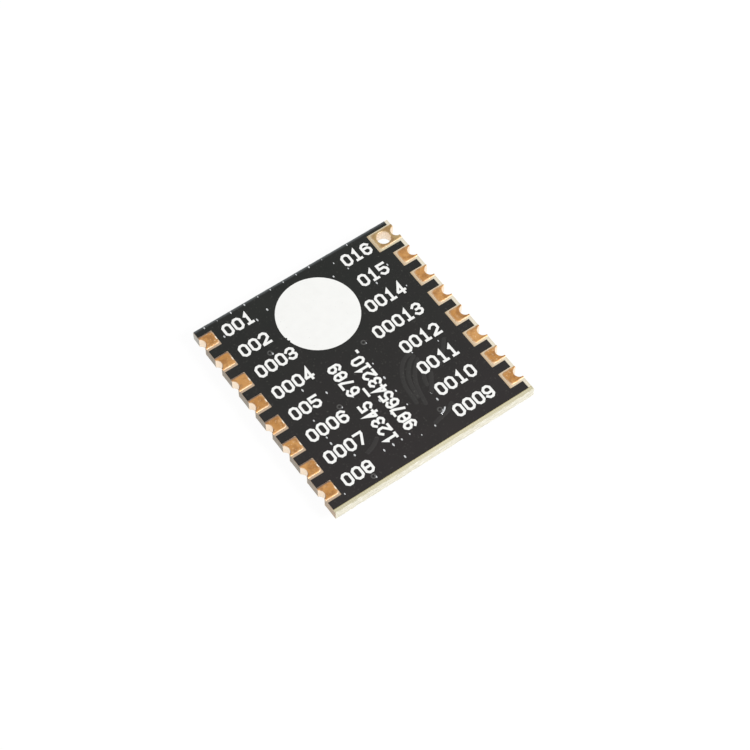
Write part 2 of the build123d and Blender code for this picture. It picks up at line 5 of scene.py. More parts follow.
import bmesh
import bpy
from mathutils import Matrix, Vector, noise
from mathutils.geometry import tessellate_polygon


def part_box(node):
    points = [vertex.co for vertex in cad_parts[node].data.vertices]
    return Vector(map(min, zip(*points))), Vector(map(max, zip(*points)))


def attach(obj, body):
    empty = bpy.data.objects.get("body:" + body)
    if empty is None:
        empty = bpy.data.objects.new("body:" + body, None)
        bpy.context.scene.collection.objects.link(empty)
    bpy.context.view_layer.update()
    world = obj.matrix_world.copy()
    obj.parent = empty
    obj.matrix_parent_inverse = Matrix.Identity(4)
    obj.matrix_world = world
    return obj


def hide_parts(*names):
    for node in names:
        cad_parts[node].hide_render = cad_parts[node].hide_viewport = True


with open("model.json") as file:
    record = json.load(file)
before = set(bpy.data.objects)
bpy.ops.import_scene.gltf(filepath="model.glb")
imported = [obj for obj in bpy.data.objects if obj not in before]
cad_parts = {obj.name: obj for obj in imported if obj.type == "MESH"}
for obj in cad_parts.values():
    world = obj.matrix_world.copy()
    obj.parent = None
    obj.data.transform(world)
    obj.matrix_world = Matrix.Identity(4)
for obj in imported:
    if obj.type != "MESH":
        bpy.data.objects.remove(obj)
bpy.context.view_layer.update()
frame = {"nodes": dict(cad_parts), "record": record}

# The looks of a castellated radio module. Sizes and places below are in millimetres.
MM = 0.001

# One seed for the random draws and for the noise vectors
SEED = 7
noise.seed_set(SEED)


def mm(*values):
    """A point given in millimetres, in metres."""
    return Vector(values) * MM


def box_mm(node):
    """The lowest and highest corner of a CAD node, in millimetres."""
    return [[round(c / MM, 4) for c in corner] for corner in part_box(node)]


# Sizes that the frame gives. The board lies with its component side down, and SEAT is the face of the
# parts that solder joins to the lands. The rows of contacts run from the far end.

board_low, board_high = box_mm("circuit_board")
BOARD_HALF_WIDTH, BOARD_HALF_LENGTH, BOARD_TOP = board_high
BOARD_BOTTOM = board_low[2]
MASK_TOP = box_mm("printed_side_mask")[1][2]
MASK_BOTTOM = box_mm("component_side_mask")[0][2]
LAND_FACE = box_mm("component_lands")[0][2]
SEAT = box_mm("transceiver_chip")[1][2]
ROWS = [sum(corner[1] for corner in box_mm(f"contact_{n:02d}")) / 2 for n in range(1, 9)]
PITCH = ROWS[0] - ROWS[1]

# Contacts: pads on both faces, and a plated half hole in the board's side. A contact's place is its side,
# left (-1) or right (1), and its row.

PAD_REACH = 1.08
PAD_HEIGHT = 1.10
PAD_CORNER = 0.18
ANTENNA_PLACE = (1, 0)
ANTENNA_PAD_REACH = 1.80
ANTENNA_PAD_HEIGHT = 1.36
ANTENNA_HOLE_INSET = 1.07
ANTENNA_HOLE_RADIUS = 0.50
NOTCH_RADIUS = 0.40
PLATING = 0.03
PLATING_OVERLAP = 0.012

# How far outside each side of the board the half holes have their centres
NOTCH_OUTSET = {-1: 0.17, 1: 0.0}

# A pad's rolled edge, as insets and heights, and how much painted highlight each step takes. Holes follow
# part of the inset.
ROLL = ((0.0, 0.0), (0.0, 0.010), (0.02, 0.024), (0.05, 0.037), (0.09, 0.046), (0.13, 0.050))
ROLL_RIM = (1.0, 1.0, 0.9, 0.45, 0.1, 0.0)
HOLE_ROLL = 0.6

# How the board's snapped ends are torn back: a mean depth, slow waves, glass grain, pulled fibres and
# chips at the arrises
END_LEVELS = (0.0, 0.02, 0.07, 0.15, 0.23, 0.31, 0.40, 0.49, 0.57, 0.65, 0.73, 0.78, 0.80)
TEAR_DEPTH = 0.012
TEAR_WAVE = 0.014
TEAR_GRAIN = 0.014
PULLED_FIBRES = 0.10
CHIPPED_ARRIS = 0.05
ARRIS_REACH = 0.05
DEEPEST_TEAR = 0.09

# Where the tones of the bare laminate change: along the right side, beside the antenna contact, and on
# the strip at the low end that the lacquer leaves free
TONE_WANDER = 0.1
ANTENNA_TONE_FROM = 6.3
STRIP_TOP = -8.08
LOW_SHORE = -8.15
SHORE_WIDTH = 0.05

# The length over which the lacquer is painted lighter towards the low end and darker towards the far end:
# painted light, with a slight drift of hue
LIGHT_FALLOFF_SPAN = 15.0

# Filled vias under the lacquer, placed where the photo has bright points: small ones with a clear or a
# faint point, and wide open rings
VIAS = {
    "dot": (
        (-7.20, 8.22), (-5.07, 8.22), (-3.97, 8.22), (-1.85, 8.22), (-0.79, 8.22), (0.27, 8.22),
        (1.33, 8.22), (4.50, 8.22), (-2.92, 7.00), (-6.47, 6.87), (-3.93, 6.70), (-4.57, 0.37),
        (2.90, 7.50), (2.27, 6.60), (3.47, 6.57), (4.37, 4.47), (5.83, 5.27), (5.90, 3.13),
        (-3.37, -0.70), (-5.27, -1.97), (-5.30, -3.50), (-5.33, -4.03), (-2.13, -1.97), (-4.57, -5.63),
        (-2.80, -6.45), (-2.07, -6.45), (-1.39, -6.45), (-0.73, -6.41), (-6.73, -7.59), (-1.97, -7.61),
        (-0.87, -3.23), (-0.77, -1.97), (-0.83, -4.47), (0.41, -1.97), (0.45, -3.23), (0.45, -4.50),
        (2.27, -4.67), (2.30, -5.33), (1.00, -6.87), (5.03, -1.70), (3.07, -1.43), (0.43, -0.63),
    ),
    "faint": ((-6.17, 8.22), (-2.87, 8.22), (2.40, 8.22), (-0.13, -6.93)),
    "ring": ((-4.70, 4.03), (0.87, 1.10), (-3.30, -2.07), (-4.47, -7.59), (1.97, -6.05)),
}
VIA_CLEARANCE = 0.12

# Radius and height of each kind's ring, and their profiles as shares of both. An open ring has two radii.
VIA_RINGS = {"dot": (0.115, 0.010), "faint": (0.115, 0.010), "ring": (0.20, 0.018)}
VIA_PROFILE = ((1.0, 0.0), (0.86, 0.75), (0.70, 1.0), (0.55, 0.75), (0.42, 0.35), (0.15, 0.2))
OPEN_PROFILE = ((1.0, 0.48, 0.0), (0.93, 0.54, 0.75), (0.82, 0.62, 1.0))

# Each kind's bright point, a small metal dome that is a painted highlight: its radius, height and dome,
# the ranges of its random size and width, and its stretch across and along the board. In an open ring it
# lies off the middle by a share of the radius.
GLINT_RADIUS = {"dot": 0.073, "faint": 0.040, "ring": 0.070}
GLINT_HEIGHT = 0.012
GLINT_DOME = ((1.0, 0.0), (0.8, 0.5), (0.45, 0.85), (0.12, 1.0))
GLINT_SIZES = (0.75, 1.35)
GLINT_WIDTHS = (0.7, 1.0)
GLINT_STRETCH = (0.85, 1.35)
RING_GLINT_OFFSET = 0.60

# Tracks under the lacquer, as low ridges, and a bright metal strip beside a via that is a painted
# highlight on a track's edge
TRACKS = (
    ((3.0, -1.4), (2.39, -1.5), (1.78, -2.0), (1.37, -2.66), (1.13, -3.3), (1.07, -4.2), (1.0, -4.9)),
    ((3.1, -1.65), (2.5, -1.95), (1.95, -2.5), (1.62, -3.1), (1.46, -3.8), (1.30, -4.6)),
    ((3.15, -1.95), (2.55, -2.5), (2.0, -3.2), (1.78, -3.8), (1.62, -4.4), (1.45, -5.3)),
    ((2.95, -2.95), (2.55, -3.45), (2.36, -4.15)),
    ((3.25, -3.3), (2.80, -4.0), (2.25, -4.75)),
    ((5.5, -1.7), (4.9, -2.42), (4.0, -3.3)),
    ((1.0, -6.75), (1.6, -6.58), (2.38, -6.47), (3.0, -6.0)),
    ((-3.9, -6.0), (-3.1, -5.75), (-2.56, -5.35)),
)
TRACKS_BELOW = (
    ((-2.9, 1.0), (-3.3, 1.4), (-3.3, 2.2), (-5.6, 4.6), (-6.7, 5.1)),
    ((-5.0, 3.5), (-5.6, 3.6), (-6.7, 3.25)),
    ((3.3, 0.95), (3.9, 1.45), (5.9, 1.45), (6.7, 1.25)),
    ((3.3, 0.3), (3.8, 0.45), (5.6, -0.15), (6.7, -0.75)),
    ((5.5, -1.0), (6.0, -1.5), (6.0, -2.3), (6.7, -2.75)),
    ((5.5, -2.0), (5.8, -2.9), (6.7, -4.75)),
    ((2.3, -4.9), (3.2, -5.9), (5.4, -6.4), (6.7, -6.75)),
    ((-5.4, -1.0), (-6.0, -0.9), (-6.7, -0.75)),
    ((-5.4, -2.0), (-5.9, -2.5), (-6.7, -2.75)),
    ((-5.4, 0.0), (-6.0, 0.8), (-6.7, 1.25)),
    ((-1.8, 4.2), (-2.6, 5.2), (-5.6, 6.4), (-6.7, 7.25)),
    ((-0.8, 4.2), (-0.8, 4.9), (-1.5, 5.6)),
    ((1.2, 4.2), (1.2, 4.9), (0.9, 5.3)),
    ((4.0, 5.9), (4.9, 6.6), (5.6, 7.1)),
)
TRACK_EDGE_GLINTS = (((1.83, -6.38), (2.03, -6.34), (2.23, -6.23), (2.38, -6.08)),)
RIDGE_PROFILE = ((1.0, 0.0), (0.75, 0.7), (0.5, 1.0))
TAPER_STEPS = 5

# How far ridges and rings are sunk into the lacquer, and how far bright metal starts above it
SUNK = 0.002
LIFTED = 0.004

# Solder fillets: how hollow they are, how much they fall and draw in towards their sides, and the least
# share of the joint's thickness that is left at the foot
JOINT_SPAN = 4.0
TIP_DEPTH = 0.001
FILLET_HOLLOW = 2.3
FILLET_FALL = 0.45
FILLET_DRAW = 0.10
FILLET_FOOT = 0.25

# The crystal's lid, as insets and heights: its edge, the weld and the groove inside it
LID_PROFILE = (
    (0.0, 0.05), (0.015, 0.02), (0.05, 0.0), (0.12, 0.0), (0.16, 0.045), (0.22, 0.045), (0.29, 0.006),
    (0.36, 0.0),
)
LID_CORNER = 0.16

# A moulded chip's dimple, as shares of its radius and depth
DIMPLE_PROFILE = ((1.0, 0.0), (0.94, 0.7), (0.80, 1.0))

# The unevenness of dipped and fired pieces changes over this length
WOBBLE_SPAN = 0.35

# The photo's camera: its place, the point of the printed face that it looks at, its lens and its sensor
CAMERA_PLACE = (-43.652, -62.906, 124.489 + MASK_TOP)
CAMERA_TARGET = (0.027, -1.432, MASK_TOP)
LENS = 105.27
SENSOR = 36.0

# How finely round shapes and ragged ends are drawn
ARC_STEPS = 18
HOLE_STEPS = 36
CORNER_STEPS = 4
BODY_CORNER_STEPS = 5
EDGE_STEPS = 4
VIA_STEPS = 20
GLINT_STEPS = 12
DIMPLE_STEPS = 32
END_STEPS = 170
FILLET_STEPS = 9
FILLET_ACROSS = 7

# Angles in degrees: faces that meet at less are smooth, or one flat face. Points closer than WELD, in
# metres, are one.
SMOOTH_ANGLE = 50.0
FLAT_ANGLE = 1.0
WELD = 1e-7


# Node materials


class Nodes:
    """A short way to build one material's node tree."""

    def __init__(self, name):
        self.material = bpy.data.materials.new(name)
        self.material.use_nodes = True
        self.tree = self.material.node_tree
        self.shader = self.tree.nodes["Principled BSDF"]
        self.place = self.add("ShaderNodeTexCoord").outputs["Object"]

    def add(self, kind, **settings):
        node = self.tree.nodes.new(kind)
        for key, value in settings.items():
            setattr(node, key, value)
        return node

    def link(self, source, target):
        self.tree.links.new(source, target)

    def feed(self, target, value):
        """Links a socket, or sets a plain value."""
        if isinstance(value, bpy.types.NodeSocket):
            self.link(value, target)
        else:
            target.default_value = value

    def texture(self, kind, per_mm, place=None, **settings):
        """A texture with so many features per millimetre."""
        node = self.add(kind, **settings)
        self.link(self.place if place is None else place, node.inputs["Vector"])
        node.inputs["Scale"].default_value = per_mm / MM
        return node

    def noise(self, per_mm, detail=3.0, roughness=0.55, stretch=(1.0, 1.0, 1.0), offset=(0.0, 0.0, 0.0)):
        """Noise, stretched by shares. An offset in metres gives it a pattern of its own."""
        mapping = self.add("ShaderNodeMapping")
        self.link(self.place, mapping.inputs["Vector"])
        mapping.inputs["Scale"].default_value = stretch
        mapping.inputs["Location"].default_value = offset
        node = self.texture("ShaderNodeTexNoise", per_mm, mapping.outputs["Vector"])
        node.inputs["Detail"].default_value = detail
        node.inputs["Roughness"].default_value = roughness
        return node.outputs["Fac"]

    def cells(self, per_mm):
        """The distance to the nearest cell's middle."""
        return self.texture("ShaderNodeTexVoronoi", per_mm, feature="F1").outputs["Distance"]

    def wave(self, per_mm, direction, distortion, detail=2.0, detail_scale=1.0):
        """Bands across one axis."""
        node = self.texture("ShaderNodeTexWave", per_mm, wave_type="BANDS", bands_direction=direction)
        node.inputs["Distortion"].default_value = distortion
        node.inputs["Detail"].default_value = detail
        node.inputs["Detail Scale"].default_value = detail_scale
        return node.outputs["Fac"]

    def axes(self, vector):
        """A vector's X, Y and Z."""
        node = self.add("ShaderNodeSeparateXYZ")
        self.link(vector, node.inputs["Vector"])
        return node.outputs

    def position(self):
        """The place on the module, by axis, in metres."""
        return self.axes(self.place)

    def facing(self):
        """The surface's own normal, by axis."""
        return self.axes(self.add("ShaderNodeNewGeometry").outputs["Normal"])

    def ramp(self, fac, *stops):
        """A value or colour ramp: stops are (position, grey or colour)."""
        node = self.add("ShaderNodeValToRGB")
        self.link(fac, node.inputs["Fac"])
        points = node.color_ramp.elements
        while len(points) < len(stops):
            points.new(0.5)
        for point, (position, colour) in zip(points, stops):
            point.position = position
            point.color = (colour,) * 3 + (1.0,) if isinstance(colour, float) else (*colour, 1.0)
        return node.outputs["Color"]

    def math(self, operation, a, b=0.0, clamp=False):
        node = self.add("ShaderNodeMath", operation=operation, use_clamp=clamp)
        self.feed(node.inputs[0], a)
        self.feed(node.inputs[1], b)
        return node.outputs["Value"]

    def mix(self, fac, a, b, blend="MIX"):
        """Colours mixed by a factor. Plain colours are tuples."""
        node = self.add("ShaderNodeMix", data_type="RGBA", blend_type=blend)
        node.inputs["Factor"].default_value = 1.0
        self.feed(node.inputs["Factor"], fac)
        for name, value in (("A", a), ("B", b)):
            socket = [s for s in node.inputs if s.name == name and s.type == "RGBA"][0]
            self.feed(socket, value if isinstance(value, bpy.types.NodeSocket) else (*value, 1.0))
        return [s for s in node.outputs if s.type == "RGBA"][0]

    def lay(self, colour, mask, strength, tint):
        """A tint laid over a colour where a mask is high."""
        return self.mix(self.math("MULTIPLY", mask, strength), colour, tint)

    def bump(self, height, depth_mm, previous=None):
        node = self.add("ShaderNodeBump")
        self.link(height, node.inputs["Height"])
        node.inputs["Distance"].default_value = depth_mm * MM
        node.inputs["Strength"].default_value = 1.0
        if previous is not None:
            self.link(previous, node.inputs["Normal"])
        return node.outputs["Normal"]

    def finish(self, colour, roughness, normal=None, metallic=0.0, **plain):
        self.feed(self.shader.inputs["Base Color"], colour)
        self.feed(self.shader.inputs["Roughness"], roughness)
        self.feed(self.shader.inputs["Metallic"], metallic)
        if normal is not None:
            self.link(normal, self.shader.inputs["Normal"])
        for key, value in plain.items():
            self.shader.inputs[key.replace("_", " ")].default_value = value
        return self.material


def solder_mask(name="black lacquer", lift=0.0, roughness_low=0.34):
    """Black lacquer, mottled and dusty, with an uneven skin. A lift makes it paler, as over copper."""
    m = Nodes(name)
    y = m.position()["Y"]
    mottle = m.ramp(m.noise(0.35, detail=4.0), (0.35, (0.004, 0.004, 0.004)), (0.7, (0.014, 0.013, 0.012)))
    # Painted light: the lacquer is lighter and plummier towards the low end, darker and greener towards
    # the far end
    along = m.math("ADD", m.math("DIVIDE", y, LIGHT_FALLOFF_SPAN * MM), m.noise(0.30, detail=2.0), clamp=True)
    tint = m.mix(along, (0.018, 0.014, 0.014), (0.004, 0.006, 0.004))
    colour = m.mix(0.65, mottle, tint)
    colour = m.mix(1.0, colour, (lift, lift, lift * 0.96), "ADD")
    # Painted highlight: a pale blue-grey band along the far arris of the lacquer
    far_edge = m.math("DIVIDE", y, BOARD_HALF_LENGTH * MM)
    far_edge = m.math("ADD", far_edge, m.math("MULTIPLY", m.noise(1.5), 0.004))
    painted_arris_highlight = m.ramp(far_edge, (0.974, 0.0), (0.986, 0.35), (1.0, 1.0))
    colour = m.mix(painted_arris_highlight, colour, (0.145, 0.158, 0.165))
    specks = m.ramp(m.noise(7.0, detail=2.0), (0.64, 0.0), (0.74, 1.0))
    colour = m.lay(colour, specks, 0.16, (0.22, 0.22, 0.19))
    roughness = m.ramp(m.noise(1.6, detail=5.0), (0.3, roughness_low), (0.75, roughness_low + 0.16))
    skin = m.bump(m.noise(1.2, detail=2.0), 0.012)
    skin = m.bump(m.noise(14.0, detail=2.0), 0.0016, skin)
    return m.finish(colour, roughness, skin, Specular_IOR_Level=0.26)


def woven_face(m, spot):
    """The laminate's bare face: darker on the left with painted shade, toned along the right side and on
    the low strip.
    """
    weave = m.math("MULTIPLY", m.wave(1.9, "X", 0.5), m.wave(1.9, "Y", 0.5))
    face = m.mix(weave, (0.68, 0.62, 0.49), (0.79, 0.73, 0.61))
    wander = m.math("MULTIPLY", m.noise(3.0), TONE_WANDER * MM)
    across = m.math("ADD", m.math("ABSOLUTE", spot["X"]), wander)
    across = m.math("DIVIDE", across, (BOARD_HALF_WIDTH + TONE_WANDER / 2) * MM)
    right_tone = m.ramp(across, (0.85, (0.76, 0.63, 0.51)), (0.875, (0.94, 0.84, 0.74)),
                        (0.955, (0.95, 0.86, 0.77)), (0.972, (1.0, 1.0, 1.0)))
    antenna_tone = m.ramp(across, (0.76, (0.70, 0.60, 0.48)), (0.785, (0.90, 0.87, 0.75)),
                          (0.955, (0.93, 0.90, 0.80)), (0.972, (1.0, 1.0, 1.0)))
    by_antenna = m.math("GREATER_THAN", spot["Y"], ANTENNA_TONE_FROM * MM)
    right_tone = m.mix(by_antenna, right_tone, antenna_tone)
    on_right = m.math("GREATER_THAN", spot["X"], 0.0)
    # Painted shade: the bare laminate on the left side is multiplied darker
    face = m.mix(1.0, face, m.mix(on_right, (0.66, 0.54, 0.47), right_tone), "MULTIPLY")
    strip = m.mix(weave, (0.53, 0.49, 0.33), (0.63, 0.59, 0.43))
    shore = m.math("DIVIDE", m.math("SUBTRACT", spot["Y"], LOW_SHORE * MM), SHORE_WIDTH * MM)
    shore = m.math("ADD", shore, m.noise(4.0, detail=3.0), clamp=True)
    strip = m.lay(strip, shore, 0.75, (0.46, 0.40, 0.20))
    return m.mix(m.math("LESS_THAN", spot["Y"], STRIP_TOP * MM), face, strip)


def snapped_end(m, layers):
    """The torn ends of the laminate: layers of glass with pale bundles, and light and dark dashes."""
    end = m.mix(layers, (0.60, 0.57, 0.45), (0.68, 0.65, 0.54))
    bundle = m.ramp(m.noise(6.0, detail=4.0, stretch=(1.0, 1.0, 0.35)), (0.35, 0.0), (0.65, 1.0))
    end = m.lay(end, bundle, 0.35, (0.76, 0.73, 0.63))
    dashes = m.noise(5.0, detail=5.0, roughness=0.7, stretch=(0.28, 1.0, 1.5))
    end = m.mix(m.ramp(dashes, (0.56, 0.0), (0.64, 0.8)), end, (0.86, 0.85, 0.80))
    return m.mix(m.ramp(dashes, (0.36, 0.7), (0.43, 0.0)), end, (0.40, 0.38, 0.31))


def routed_side(m, layers, spot):
    """The routed sides of the laminate, darker than the snapped ends, partly painted shade: warmer and
    paler at the left's low end, and paler at the far end.
    """
    # Darker than the snapped ends: partly the routed edge's own grey, partly painted shade
    side = m.mix(layers, (0.35, 0.30, 0.24), (0.49, 0.43, 0.355))
    high_end = m.math("DIVIDE", spot["Y"], BOARD_HALF_LENGTH * MM)
    low_end = m.math("DIVIDE", spot["Y"], -BOARD_HALF_LENGTH * MM)
    # Warmer and paler towards the left side's low end
    warm_low_end = m.ramp(low_end, (0.55, 0.0), (0.80, 0.35), (0.97, 0.85))
    side = m.lay(side, warm_low_end, m.math("LESS_THAN", spot["X"], 0.0), (0.70, 0.53, 0.38))
    return m.mix(m.ramp(high_end, (0.86, 0.0), (0.97, 0.80)), side, (0.66, 0.65, 0.60))


def laminate():
    """Glass laminate: pale woven faces, snapped ends with layers of glass, and greyer routed sides, partly
    painted shade.
    """
    m = Nodes("glass laminate")
    spot = m.position()
    facing = m.facing()
    layers = m.wave(1.15, "Z", 1.4, detail=3.0, detail_scale=0.6)
    on_side = m.math("GREATER_THAN", m.math("ABSOLUTE", facing["X"]), 0.7)
    on_face = m.math("GREATER_THAN", m.math("ABSOLUTE", facing["Z"]), 0.5)
    edge = m.mix(on_side, snapped_end(m, layers), routed_side(m, layers, spot))
    colour = m.mix(on_face, edge, woven_face(m, spot))
    roughness = m.ramp(m.noise(5.0, detail=4.0), (0.3, 0.52), (0.7, 0.75))
    rough = m.bump(m.noise(9.0, detail=4.0), 0.012)
    rough = m.bump(layers, 0.002, rough)
    return m.finish(colour, roughness, rough)


def contact_plating(name, dark, middle, light):
    """Gold over copper: satin pads with stains and pale patches, with painted highlights and shade on
    their edges and hole walls.
    """
    m = Nodes(name)
    spot = m.position()
    facing = m.facing()
    on_left = m.math("LESS_THAN", spot["X"], 0.0)
    base = m.ramp(m.noise(0.9, detail=4.0), (0.30, dark), (0.52, middle), (0.75, light))
    stain = m.ramp(m.noise(2.6, detail=5.0, offset=(0.003, 0.001, 0.0)), (0.47, 0.0), (0.62, 1.0))
    colour = m.lay(base, stain, 0.50, (0.26, 0.11, 0.035))
    patch = m.ramp(m.noise(1.7, detail=3.0, offset=(0.0, 0.004, 0.0)), (0.60, 0.0), (0.72, 1.0))
    colour = m.lay(colour, patch, 0.45, (0.74, 0.52, 0.30))
    # Fine grains: a real bump, and pale spots laid on them that are painted highlights
    grain_sparkle = m.ramp(m.noise(8.5, detail=3.0, offset=(0.0, 0.0, 0.002)), (0.60, 0.0), (0.68, 1.0))
    sparkle_spread = m.ramp(m.noise(0.6, detail=1.0, offset=(0.004, 0.002, 0.0)), (0.42, 0.15), (0.60, 1.0))
    colour = m.lay(colour, m.math("MULTIPLY", grain_sparkle, sparkle_spread), 0.65, (0.84, 0.64, 0.40))
    # Painted highlight: pale colour on the pads' rolled rims, broken up by noise
    rim_sheen_breakup = m.ramp(m.noise(3.4, detail=4.0, offset=(0.002, 0.0, 0.001)), (0.40, 0.20), (0.58, 1.0))
    rim = m.math("MULTIPLY", m.add("ShaderNodeAttribute", attribute_name="rim").outputs["Fac"], rim_sheen_breakup)
    colour = m.lay(colour, rim, 0.80, (0.80, 0.62, 0.44))
    # Painted shade: the left pads' rolled edges that face the far end are darker
    painted_back_edge_shade = m.ramp(facing["Y"], (0.08, 0.0), (0.26, 0.9))
    colour = m.lay(colour, painted_back_edge_shade, on_left, (0.23, 0.15, 0.12))
    past_gap = m.math("SUBTRACT", spot["Y"], (ROWS[0] - PITCH / 2) * MM)
    along_pad = m.math("FRACT", m.math("DIVIDE", past_gap, PITCH * MM))
    gleam = m.ramp(along_pad, (0.36, 0.0), (0.40, 1.0), (0.48, 1.0), (0.52, 0.0))
    gleam = m.math("MULTIPLY", gleam, m.ramp(facing["X"], (0.10, 0.0), (0.30, 1.0)))
    colour = m.lay(colour, gleam, on_left, (1.0, 0.92, 0.78))
    # Painted reflection: hole walls, picked out by their facing, are painted pale
    wall = m.ramp(m.math("ABSOLUTE", facing["Z"]), (0.45, 1.0), (0.80, 0.0))
    pale = m.mix(m.noise(2.0, detail=4.0), (0.95, 0.75, 0.55), (1.0, 0.89, 0.75))
    colour = m.mix(wall, colour, pale)
    roughness = m.ramp(m.noise(5.0, detail=5.0), (0.3, 0.34), (0.75, 0.56))
    roughness = m.math("ADD", roughness, m.math("MULTIPLY", rim, 0.15))
    metallic = m.math("ADD", m.math("MULTIPLY", wall, 0.35), 0.6)
    skin = m.bump(m.noise(2.2, detail=3.0), 0.012)
    skin = m.bump(m.noise(16.0, detail=3.0), 0.0022, skin)
    skin = m.bump(grain_sparkle, 0.003, skin)
    return m.finish(colour, roughness, skin, metallic=metallic)


def white_ink(name, colour_low, colour_high):
    """Screen-printed ink: slightly uneven white with small pinholes."""
    m = Nodes(name)
    colour = m.mix(m.noise(1.5, detail=4.0), colour_low, colour_high)
    pinholes = m.ramp(m.noise(13.0, detail=1.0), (0.20, 1.0), (0.26, 0.0))
    colour = m.lay(colour, pinholes, 0.5, (0.35, 0.35, 0.34))
    roughness = m.ramp(m.noise(6.0, detail=3.0), (0.3, 0.55), (0.7, 0.72))
    skin = m.bump(m.noise(10.0, detail=3.0), 0.003)
    return m.finish(colour, roughness, skin)


def moulded_resin():
    """Dark moulded resin with a fine spark-eroded grain."""
    m = Nodes("moulded resin")
    colour = m.ramp(m.noise(0.6, detail=4.0), (0.3, (0.018, 0.018, 0.019)), (0.7, (0.030, 0.029, 0.029)))
    roughness = m.ramp(m.noise(3.0, detail=5.0), (0.3, 0.50), (0.7, 0.68))
    grain = m.bump(m.cells(14.0), 0.004)
    grain = m.bump(m.noise(24.0, detail=3.0), 0.003, grain)
    return m.finish(colour, roughness, grain)


def metal(name, dark, light, roughness_low, roughness_high, ripple_mm, per_mm=3.0):
    """A plated or soldered metal with soft ripples and uneven shine."""
    m = Nodes(name)
    colour = m.ramp(m.noise(per_mm, detail=4.0), (0.3, dark), (0.7, light))
    roughness = m.ramp(m.noise(per_mm * 1.7, detail=5.0), (0.3, roughness_low), (0.7, roughness_high))
    skin = m.bump(m.noise(per_mm * 1.3, detail=3.0), ripple_mm)
    skin = m.bump(m.noise(per_mm * 6.0, detail=3.0), ripple_mm * 0.25, skin)
    return m.finish(colour, roughness, skin, metallic=1.0)


def ceramic(name, dark, light, roughness=(0.35, 0.5), grain_mm=0.004):
    """Fired ceramic with fine grain and soft colour changes."""
    m = Nodes(name)
    colour = m.ramp(m.noise(1.4, detail=5.0), (0.3, dark), (0.7, light))
    flecks = m.ramp(m.noise(18.0, detail=2.0), (0.66, 0.0), (0.74, 1.0))
    colour = m.lay(colour, flecks, 0.25, tuple(c * 0.55 for c in dark))
    gloss = m.ramp(m.noise(7.0, detail=4.0), (0.3, roughness[0]), (0.7, roughness[1]))
    grain = m.bump(m.noise(12.0, detail=4.0), grain_mm)
    return m.finish(colour, gloss, grain)


materials = {
    "laminate": laminate(),
    "solder_mask": solder_mask(),
    "contact_plating": contact_plating(
        "gold over copper", (0.43, 0.195, 0.051), (0.53, 0.257, 0.075), (0.62, 0.335, 0.122)
    ),
    "white_ink": white_ink("white ink", (0.82, 0.82, 0.80), (0.88, 0.88, 0.86)),
    "moulded_resin": moulded_resin(),
    "tinned_leads": metal("tinned leads", (0.58, 0.57, 0.55), (0.75, 0.74, 0.72), 0.30, 0.45, 0.006),
    "solder": metal("solder", (0.52, 0.53, 0.54), (0.74, 0.75, 0.76), 0.16, 0.32, 0.020, 2.0),
    "dark_ceramic": ceramic("dark ceramic", (0.030, 0.027, 0.025), (0.050, 0.045, 0.040)),
    "nickel_lid": metal("nickel lid", (0.56, 0.53, 0.48), (0.70, 0.67, 0.62), 0.22, 0.36, 0.004, 1.2),
    "tinned_ends": metal("tinned ends", (0.55, 0.55, 0.54), (0.72, 0.72, 0.71), 0.28, 0.42, 0.008),
    "capacitor_ceramic": ceramic("capacitor ceramic", (0.24, 0.14, 0.07), (0.34, 0.21, 0.11)),
    "inductor_ceramic": ceramic("inductor ceramic", (0.60, 0.60, 0.58), (0.74, 0.74, 0.72)),
    "resistor_glaze": ceramic(
        "resistor glaze", (0.012, 0.012, 0.014), (0.022, 0.022, 0.025), (0.18, 0.3), 0.002
    ),
}

# Finishes that a few pieces have instead of their slot's usual one
paler_plating = contact_plating(
    "paler gold over copper", (0.34, 0.22, 0.085), (0.44, 0.31, 0.14), (0.58, 0.45, 0.26)
)
lacquer_on_copper = solder_mask("black lacquer on copper", 0.013, 0.24)
lacquer_round_via = solder_mask("thin lacquer round a via", 0.055, 0.30)

for row in frame["record"]["subparts"]:
    mesh = frame["nodes"][row["node"]].data
    mesh.materials.clear()
    mesh.materials.append(materials[row["material_slot"]])


# Closed shapes and outlines


def make_piece(name, solid, slot, replaced=(), material=None):
    """A closed mesh, from a solid in millimetres, that rides on the board."""
    mesh = bpy.data.meshes.new(name)
    mesh.from_pydata([mm(*point) for point in solid.points], [], solid.faces)
    shape = bmesh.new()
    shape.from_mesh(mesh)
    bmesh.ops.recalc_face_normals(shape, faces=shape.faces)
    shape.to_mesh(mesh)
    shape.free()
    mesh.polygons.foreach_set("use_smooth", [True] * len(mesh.polygons))
    mesh.set_sharp_from_angle(angle=math.radians(SMOOTH_ANGLE))
    if any(solid.rim):
        mesh.attributes.new("rim", "FLOAT", "POINT").data.foreach_set("value", solid.rim)
    mesh.materials.append(material or materials[slot])
    piece = bpy.data.objects.new(name, mesh)
    bpy.context.collection.objects.link(piece)
    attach(piece, "root")
    if replaced:
        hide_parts(*replaced)


